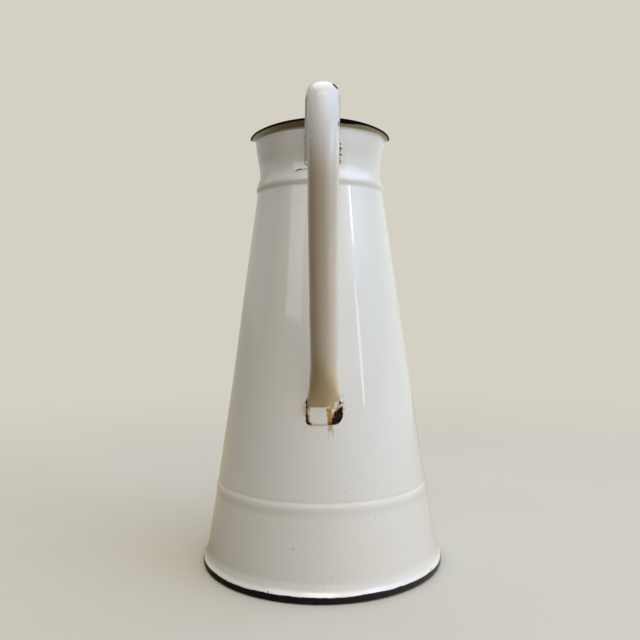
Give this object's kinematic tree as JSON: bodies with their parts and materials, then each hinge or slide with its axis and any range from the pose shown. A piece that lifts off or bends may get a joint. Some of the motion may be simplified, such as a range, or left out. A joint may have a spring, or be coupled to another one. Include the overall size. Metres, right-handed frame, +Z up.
{
  "type": "water jug",
  "caption": "Tall conical enamelled-steel water jug with a flared foot band, a beaded neck, a pouring lip with a spout and a hollow strap handle.",
  "frame": {"origin": "centre of the foot on the plane it stands on", "axes": "+Z up along the jug's axis, +Y towards the pouring spout, the handle on the -Y side, +X completes a right-handed frame"},
  "size_m": [0.21, 0.21, 0.3959],
  "materials": {
    "white_enamel": "gloss vitreous enamel, cool white",
    "white_enamel_navy_foot": "gloss white vitreous enamel, the rolled foot edge in navy",
    "white_enamel_navy_lip": "gloss white vitreous enamel, the lip's edge in navy",
    "chipped_enamel": "gloss white vitreous enamel, chipped to dark iron and rust along its edges",
    "steel_wire": "drawn mild steel"
  },
  "bodies": {
    "root": {"body_cone": "white_enamel", "foot_band": "white_enamel_navy_foot", "foot_wire": "steel_wire", "base_plate": "white_enamel", "neck_collar": "white_enamel", "pouring_lip": "white_enamel_navy_lip", "handle_outer_shell": "white_enamel", "handle_inner_strip": "white_enamel", "handle_upper_tab": "chipped_enamel", "handle_lower_tab": "chipped_enamel"}
  },
  "joints": []
}
